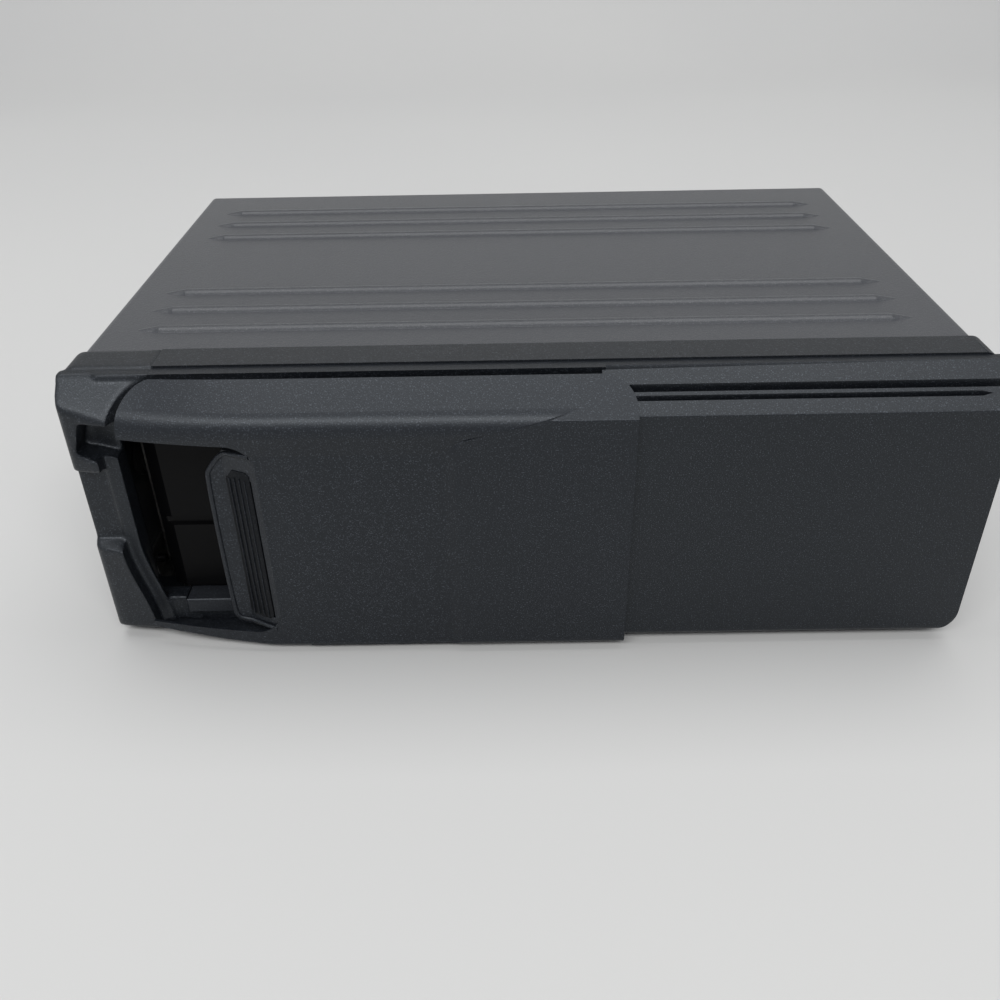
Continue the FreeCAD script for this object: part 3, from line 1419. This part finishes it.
def dial(side):
    # Coin-slotted dial, held by a flange behind the case's side.
    outward = V(side, 0, 0)
    base = V(side * case_half, dial_y, dial_z)
    flange_top = -sheet - sheet_gap
    flange_low = flange_top - dial_flange_thick
    shape = turned([(flange_low - dial_hub_length, dial_hub), (flange_low, dial_hub), (flange_low, dial_flange),
                    (flange_top, dial_flange), (flange_top, dial_radius), (dial_proud - dial_edge, dial_radius),
                    (dial_proud, dial_radius - dial_edge)], base, outward)
    floor = case_half + dial_proud - coin_slot_depth
    coin = across(side, floor, floor + 2 * coin_slot_depth, dial_y - coin_slot_length / 2,
                  dial_y + coin_slot_length / 2, dial_z - coin_slot / 2, dial_z + coin_slot / 2)
    notch = rod(V(side * floor, dial_y + dial_radius - 2 * dial_mark, dial_z), outward, dial_mark, 2 * coin_slot_depth)
    return shape.cut(coin.fuse(notch))


# ---- eject button and lever

def eject_button():
    body = prism([(button_front, button_low, crease_radius), (button_front, button_high, crease_radius),
                  (button_back, button_high), (button_back, button_low)], "yz", button_left, button_right)
    floor_y = button_front + button_wall
    body = body.cut(block(button_left + button_wall, button_right - button_wall, floor_y, button_back + 1,
                          button_low + button_wall, button_high - button_wall))
    post = rod(V(spring_seat_x, floor_y, spring_seat_z), V(0, 1, 0), button_post_radius, button_back - floor_y)
    peg_x = lever_x + lever_arm
    peg = block(peg_x - button_wall, peg_x + button_wall, floor_y - 1, lever_y - lever_half - button_gap,
                lever_z, button_high - 1)
    return fused([body, post, peg])


def button_spring():
    base = V(spring_seat_x, button_back + button_spring_wire / 2 + rod_fit, spring_seat_z)
    return spring(base, V(0, 1, 0), button_spring_radius, button_spring_wire, button_spring_length,
                  button_spring_turns)


def eject_lever():
    # Bell crank in the bezel's floor: the button turns it and its finger frees the magazine.
    tip = lever_x + lever_arm + lever_half
    corner = lever_half * 0.7
    front = lever_y - lever_half
    back = lever_y + lever_reach
    plan = [(tip, front, corner), (tip, lever_y + lever_half, corner), (lever_x + lever_half, lever_y + lever_half + 1),
            (lever_x - lever_half, back, corner), (lever_x - lever_heel, back, corner),
            (lever_x - lever_half, front, corner)]
    plate = prism(plan, "xy", lever_z, lever_z + lever_wall)
    finger_x = lever_x - (lever_heel + lever_half) / 2
    finger = rod(V(finger_x, back - finger_radius - guide_gap, lever_z), V(0, 0, 1), finger_radius, finger_height)
    bore = rod(V(lever_x, lever_y, lever_z - 1), V(0, 0, 1), peg_radius + rod_fit, lever_wall + 2)
    return plate.fuse(finger).cut(bore)


def lever_pivot():
    low = lever_z - panel_foot - sheet_gap
    high = lever_z - panel_foot + lever_wall + guide_gap
    flange = peg_radius + peg_flange
    return turned([(0, flange), (low, flange), (low, peg_radius), (high, peg_radius), (high, flange),
                   (high + peg_cap, flange)], V(lever_x, lever_y, panel_foot), V(0, 0, 1))


def door_detent():
    # Bent leaf under the track that catches the door's hook at the closed end.
    x = panel_left + bezel_wall + guide_gap
    z = hook_low - detent_gap
    crest = x + hook_length / 2
    foot = x + hook_length
    end = foot + detent_tail
    strip = [(x, z), (crest, z - detent_dip), (foot, z), (end, z), (end, z + detent_wall), (foot, z + detent_wall),
             (crest, z + detent_wall - detent_dip), (x, z + detent_wall)]
    return prism(strip, "xz", groove_front - detent_width, groove_front - door_gap)


# ---- electronics

def main_board():
    board = prism(rectangle(board_left, board_right, board_front, board_back, board_corner), "xy", board_z, board_top)
    holes = [rod(V(x, y, board_z - 1), V(0, 0, 1), standoff_neck, board_thick + 2) for x, y in standoffs]
    return board.cut(holes[0].multiFuse(holes[1:]))


def board_posts():
    low = board_z - sheet
    high = board_top - sheet
    profile = [(0, standoff_radius), (low, standoff_radius), (low, standoff_neck), (high, standoff_neck),
               (high, standoff_head), (high + standoff_head_thick, standoff_head)]
    return Part.makeCompound([turned(profile, V(x, y, sheet), V(0, 0, 1)) for x, y in standoffs])


def board_components():
    items = []
    for row, packages in package_rows:
        x = board_left + package_start
        y = board_front + row
        for width, depth, height in packages:
            items.append(block(x, x + width, y, y + depth, board_top, board_top + height))
            x += width + package_gap
    for i in range(can_count):
        base = V(board_right - can_inset - i * can_pitch, board_back - can_radius - sheet_gap, board_top)
        items.append(rod(base, V(0, 0, 1), can_radius, can_height))
    return Part.makeCompound(items)


def control_socket():
    # Round multi-pin socket: shell through the rear panel, flange inside, cup open to the rear.
    back = V(0, 1, 0)
    flange_y = cover_back - sheet - sheet_gap
    base = V(socket_x, flange_y - socket_body - socket_flange_thick, socket_z)
    shell = turned([(0, socket_radius), (socket_body, socket_radius), (socket_body, socket_flange),
                    (socket_body + socket_flange_thick, socket_flange),
                    (socket_body + socket_flange_thick, socket_radius), (rear_reach - base.y, socket_radius)],
                   base, back)
    cup = rod(V(socket_x, rear_reach - socket_cup_depth, socket_z), back, socket_cup, 2 * socket_cup_depth)
    key = block(socket_x - key_half, socket_x + key_half, rear_reach - socket_cup_depth, rear_reach,
                socket_z + socket_cup - key_depth, socket_z + (socket_cup + socket_radius) / 2)
    foot = block(socket_x - socket_foot_half, socket_x + socket_foot_half, base.y, base.y + socket_body, board_top,
                 socket_z - socket_cup / 2)
    return fused([shell.cut(cup), foot, key])


def socket_contacts():
    pins = []
    for i in range(socket_pins):
        angle = math.radians(socket_pin_start + i * socket_pin_arc / (socket_pins - 1))
        base = V(socket_x + socket_pin_circle * math.cos(angle), rear_reach - socket_cup_depth,
                 socket_z + socket_pin_circle * math.sin(angle))
        pins.append(rod(base, V(0, 1, 0), socket_pin_radius, socket_pin_length))
    return Part.makeCompound(pins)


def parts():
    made = {
        "top_cover": top_cover(),
        "bottom_plate": bottom_plate(),
        "rear_panel": rear_panel(),
        "case_screws": case_screws(),
        "bracket_nuts": bracket_nuts(),
        "front_bezel": front_bezel(),
        "sliding_door": sliding_door(),
        "door_detent": door_detent(),
        "magazine_shell": magazine_shell(),
        "mech_frame": mech_frame(),
        "magazine_runners": magazine_runners(),
        "cam_studs": cam_studs(),
        "front_cam_plate": cam_plate(front_cam_y, False),
        "rear_cam_plate": cam_plate(rear_cam_y, True),
        "lift_gear": lift_gear(),
        "lift_worm": lift_worm(),
        "lift_motor": lift_motor(),
        "lift_bracket": lift_bracket(),
        "drive_chassis": drive_chassis(),
        "lift_pins": lift_pins(),
        "spindle_motor": spindle_motor(),
        "turntable": turntable(),
        "guide_rods": guide_rods(),
        "pickup_body": pickup_body(),
        "pickup_lens": pickup_lens(),
        "sled_gear": sled_gear(),
        "sled_worm": sled_worm(),
        "sled_motor": sled_motor(),
        "clamp_arm": clamp_arm(),
        "clamp_puck": clamp_puck(),
        "suspension_boots": suspension_boots(),
        "suspension_studs": suspension_studs(),
        "suspension_springs": suspension_springs(),
        "left_dial": dial(-1),
        "right_dial": dial(1),
        "eject_button": eject_button(),
        "button_spring": button_spring(),
        "eject_lever": eject_lever(),
        "lever_pivot": lever_pivot(),
        "main_board": main_board(),
        "board_posts": board_posts(),
        "board_components": board_components(),
        "control_socket": control_socket(),
        "socket_contacts": socket_contacts(),
    }
    for number in range(tray_count):
        made["disc_tray_%02d" % (number + 1)] = tray(number)
    return made


os.makedirs("parts", exist_ok=True)
for name, shape in parts().items():
    shape.exportStep("parts/%s.step" % name)
    print(name, len(shape.Solids), round(shape.Volume), shape.isValid())
